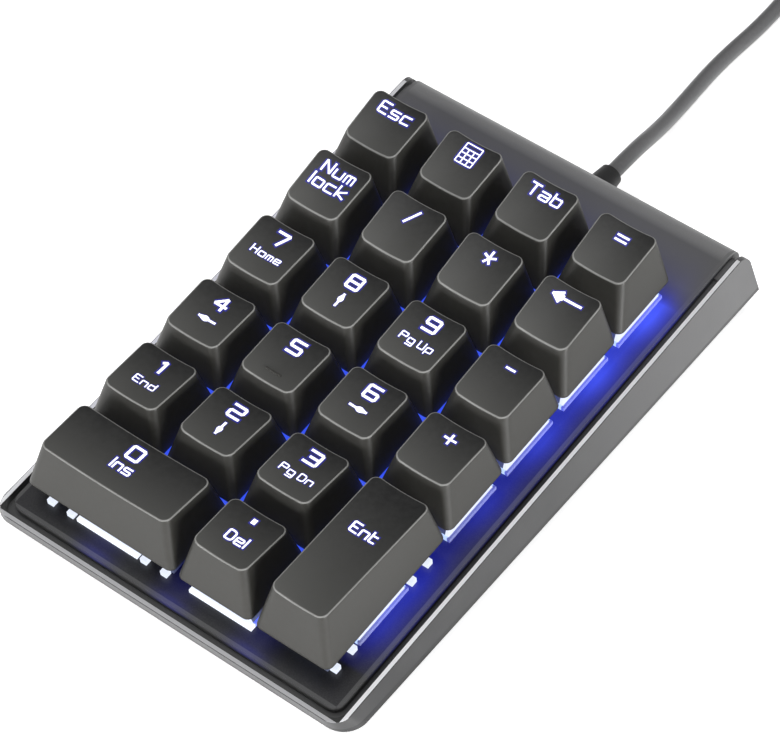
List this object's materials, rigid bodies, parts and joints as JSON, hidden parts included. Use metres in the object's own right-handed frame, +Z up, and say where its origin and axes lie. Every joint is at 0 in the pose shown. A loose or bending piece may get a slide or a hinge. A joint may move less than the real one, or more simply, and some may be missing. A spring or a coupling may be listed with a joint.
{
  "type": "numeric keypad",
  "caption": "Free-standing wired numeric keypad: sloped metal plate with sculpted backlit caps on mechanical switches, wide stabilised keys, rubber feet and a coiled USB cord.",
  "frame": {"origin": "on the desk plane under the middle of the keypad's case, the cord left out", "axes": "+X to the right along a row of keys, +Y to the rear where the cord leaves, +Z up"},
  "size_m": [0.1129, 0.28, 0.0375],
  "materials": {
    "keycap_plastic": "matt, fine grain",
    "keycap_legend": "translucent, lit from below",
    "case_plastic": "satin",
    "plate_metal": "fine sand blasted, anodised",
    "board_green": "solder mask",
    "switch_black": "moulded",
    "switch_clear": "frosted translucent plastic",
    "stem_blue": "moulded",
    "spring_steel": "drawn wire",
    "lamp_clear": "clear resin",
    "screw_steel": "blackened",
    "foot_rubber": "matt",
    "cord_jacket": "satin",
    "plug_body": "moulded"
  },
  "bodies": {
    "case": {"bottom_case": "case_plastic", "top_plate": "plate_metal", "circuit_board": "board_green", "switch_bases": "switch_black", "switch_covers": "switch_clear", "switch_springs": "spring_steel", "backlight_lamps": "lamp_clear", "stabiliser_housings": "switch_clear", "case_screws": "screw_steel", "rubber_feet": "foot_rubber", "strain_relief": "foot_rubber", "cable": "cord_jacket", "cable_coil": "cord_jacket", "usb_plug": "plug_body"},
    "key_esc": {"keycap_esc": "keycap_plastic", "stem_esc": "stem_blue"},
    "key_calculator": {"keycap_calculator": "keycap_plastic", "stem_calculator": "stem_blue"},
    "key_tab": {"keycap_tab": "keycap_plastic", "stem_tab": "stem_blue"},
    "key_equals": {"keycap_equals": "keycap_plastic", "stem_equals": "stem_blue"},
    "key_num_lock": {"keycap_num_lock": "keycap_plastic", "stem_num_lock": "stem_blue"},
    "key_divide": {"keycap_divide": "keycap_plastic", "stem_divide": "stem_blue"},
    "key_multiply": {"keycap_multiply": "keycap_plastic", "stem_multiply": "stem_blue"},
    "key_backspace": {"keycap_backspace": "keycap_plastic", "stem_backspace": "stem_blue"},
    "key_7": {"keycap_7": "keycap_plastic", "stem_7": "stem_blue"},
    "key_8": {"keycap_8": "keycap_plastic", "stem_8": "stem_blue"},
    "key_9": {"keycap_9": "keycap_plastic", "stem_9": "stem_blue"},
    "key_minus": {"keycap_minus": "keycap_plastic", "stem_minus": "stem_blue"},
    "key_4": {"keycap_4": "keycap_plastic", "stem_4": "stem_blue"},
    "key_5": {"keycap_5": "keycap_plastic", "stem_5": "stem_blue"},
    "key_6": {"keycap_6": "keycap_plastic", "stem_6": "stem_blue"},
    "key_plus": {"keycap_plus": "keycap_plastic", "stem_plus": "stem_blue"},
    "key_1": {"keycap_1": "keycap_plastic", "stem_1": "stem_blue"},
    "key_2": {"keycap_2": "keycap_plastic", "stem_2": "stem_blue"},
    "key_3": {"keycap_3": "keycap_plastic", "stem_3": "stem_blue"},
    "key_enter": {"keycap_enter": "keycap_plastic", "stem_enter": "stem_blue"},
    "key_0": {"keycap_0": "keycap_plastic", "stem_0": "stem_blue"},
    "key_decimal": {"keycap_decimal": "keycap_plastic", "stem_decimal": "stem_blue"},
    "wire_0": {"stabiliser_wire_0": "spring_steel"},
    "wire_enter": {"stabiliser_wire_enter": "spring_steel"}
  },
  "joints": [
    {"name": "press_esc", "type": "slide", "parent": "case", "child": "key_esc", "axis": [0, 0.0698, -0.9976], "range_m": [0, 0.004], "stiffness_N_per_m": 75, "springref_m": -0.004, "deforming": ["switch_springs"]},
    {"name": "press_calculator", "type": "slide", "parent": "case", "child": "key_calculator", "axis": [0, 0.0698, -0.9976], "range_m": [0, 0.004], "stiffness_N_per_m": 75, "springref_m": -0.004, "deforming": ["switch_springs"]},
    {"name": "press_tab", "type": "slide", "parent": "case", "child": "key_tab", "axis": [0, 0.0698, -0.9976], "range_m": [0, 0.004], "stiffness_N_per_m": 75, "springref_m": -0.004, "deforming": ["switch_springs"]},
    {"name": "press_equals", "type": "slide", "parent": "case", "child": "key_equals", "axis": [0, 0.0698, -0.9976], "range_m": [0, 0.004], "stiffness_N_per_m": 75, "springref_m": -0.004, "deforming": ["switch_springs"]},
    {"name": "press_num_lock", "type": "slide", "parent": "case", "child": "key_num_lock", "axis": [0, 0.0698, -0.9976], "range_m": [0, 0.004], "stiffness_N_per_m": 75, "springref_m": -0.004, "deforming": ["switch_springs"]},
    {"name": "press_divide", "type": "slide", "parent": "case", "child": "key_divide", "axis": [0, 0.0698, -0.9976], "range_m": [0, 0.004], "stiffness_N_per_m": 75, "springref_m": -0.004, "deforming": ["switch_springs"]},
    {"name": "press_multiply", "type": "slide", "parent": "case", "child": "key_multiply", "axis": [0, 0.0698, -0.9976], "range_m": [0, 0.004], "stiffness_N_per_m": 75, "springref_m": -0.004, "deforming": ["switch_springs"]},
    {"name": "press_backspace", "type": "slide", "parent": "case", "child": "key_backspace", "axis": [0, 0.0698, -0.9976], "range_m": [0, 0.004], "stiffness_N_per_m": 75, "springref_m": -0.004, "deforming": ["switch_springs"]},
    {"name": "press_7", "type": "slide", "parent": "case", "child": "key_7", "axis": [0, 0.0698, -0.9976], "range_m": [0, 0.004], "stiffness_N_per_m": 75, "springref_m": -0.004, "deforming": ["switch_springs"]},
    {"name": "press_8", "type": "slide", "parent": "case", "child": "key_8", "axis": [0, 0.0698, -0.9976], "range_m": [0, 0.004], "stiffness_N_per_m": 75, "springref_m": -0.004, "deforming": ["switch_springs"]},
    {"name": "press_9", "type": "slide", "parent": "case", "child": "key_9", "axis": [0, 0.0698, -0.9976], "range_m": [0, 0.004], "stiffness_N_per_m": 75, "springref_m": -0.004, "deforming": ["switch_springs"]},
    {"name": "press_minus", "type": "slide", "parent": "case", "child": "key_minus", "axis": [0, 0.0698, -0.9976], "range_m": [0, 0.004], "stiffness_N_per_m": 75, "springref_m": -0.004, "deforming": ["switch_springs"]},
    {"name": "press_4", "type": "slide", "parent": "case", "child": "key_4", "axis": [0, 0.0698, -0.9976], "range_m": [0, 0.004], "stiffness_N_per_m": 75, "springref_m": -0.004, "deforming": ["switch_springs"]},
    {"name": "press_5", "type": "slide", "parent": "case", "child": "key_5", "axis": [0, 0.0698, -0.9976], "range_m": [0, 0.004], "stiffness_N_per_m": 75, "springref_m": -0.004, "deforming": ["switch_springs"]},
    {"name": "press_6", "type": "slide", "parent": "case", "child": "key_6", "axis": [0, 0.0698, -0.9976], "range_m": [0, 0.004], "stiffness_N_per_m": 75, "springref_m": -0.004, "deforming": ["switch_springs"]},
    {"name": "press_plus", "type": "slide", "parent": "case", "child": "key_plus", "axis": [0, 0.0698, -0.9976], "range_m": [0, 0.004], "stiffness_N_per_m": 75, "springref_m": -0.004, "deforming": ["switch_springs"]},
    {"name": "press_1", "type": "slide", "parent": "case", "child": "key_1", "axis": [0, 0.0698, -0.9976], "range_m": [0, 0.004], "stiffness_N_per_m": 75, "springref_m": -0.004, "deforming": ["switch_springs"]},
    {"name": "press_2", "type": "slide", "parent": "case", "child": "key_2", "axis": [0, 0.0698, -0.9976], "range_m": [0, 0.004], "stiffness_N_per_m": 75, "springref_m": -0.004, "deforming": ["switch_springs"]},
    {"name": "press_3", "type": "slide", "parent": "case", "child": "key_3", "axis": [0, 0.0698, -0.9976], "range_m": [0, 0.004], "stiffness_N_per_m": 75, "springref_m": -0.004, "deforming": ["switch_springs"]},
    {"name": "press_enter", "type": "slide", "parent": "case", "child": "key_enter", "axis": [0, 0.0698, -0.9976], "range_m": [0, 0.004], "stiffness_N_per_m": 75, "springref_m": -0.004, "deforming": ["switch_springs"]},
    {"name": "press_0", "type": "slide", "parent": "case", "child": "key_0", "axis": [0, 0.0698, -0.9976], "range_m": [0, 0.004], "stiffness_N_per_m": 75, "springref_m": -0.004, "deforming": ["switch_springs"]},
    {"name": "press_decimal", "type": "slide", "parent": "case", "child": "key_decimal", "axis": [0, 0.0698, -0.9976], "range_m": [0, 0.004], "stiffness_N_per_m": 75, "springref_m": -0.004, "deforming": ["switch_springs"]},
    {"name": "swing_0", "type": "hinge", "parent": "case", "child": "wire_0", "pos_m": [-0.01949, -0.04713, 0.01417], "axis": [1, 0, 0], "range_deg": [0, 33]},
    {"name": "swing_enter", "type": "hinge", "parent": "case", "child": "wire_enter", "pos_m": [0.01954, -0.0462, 0.01424], "axis": [0, 0.9976, 0.0698], "range_deg": [0, 33]}
  ],
  "couplings": [
    {"joint": "swing_0", "follows": "press_0", "rad_per_m": 143.03},
    {"joint": "swing_enter", "follows": "press_enter", "rad_per_m": 143.03}
  ]
}
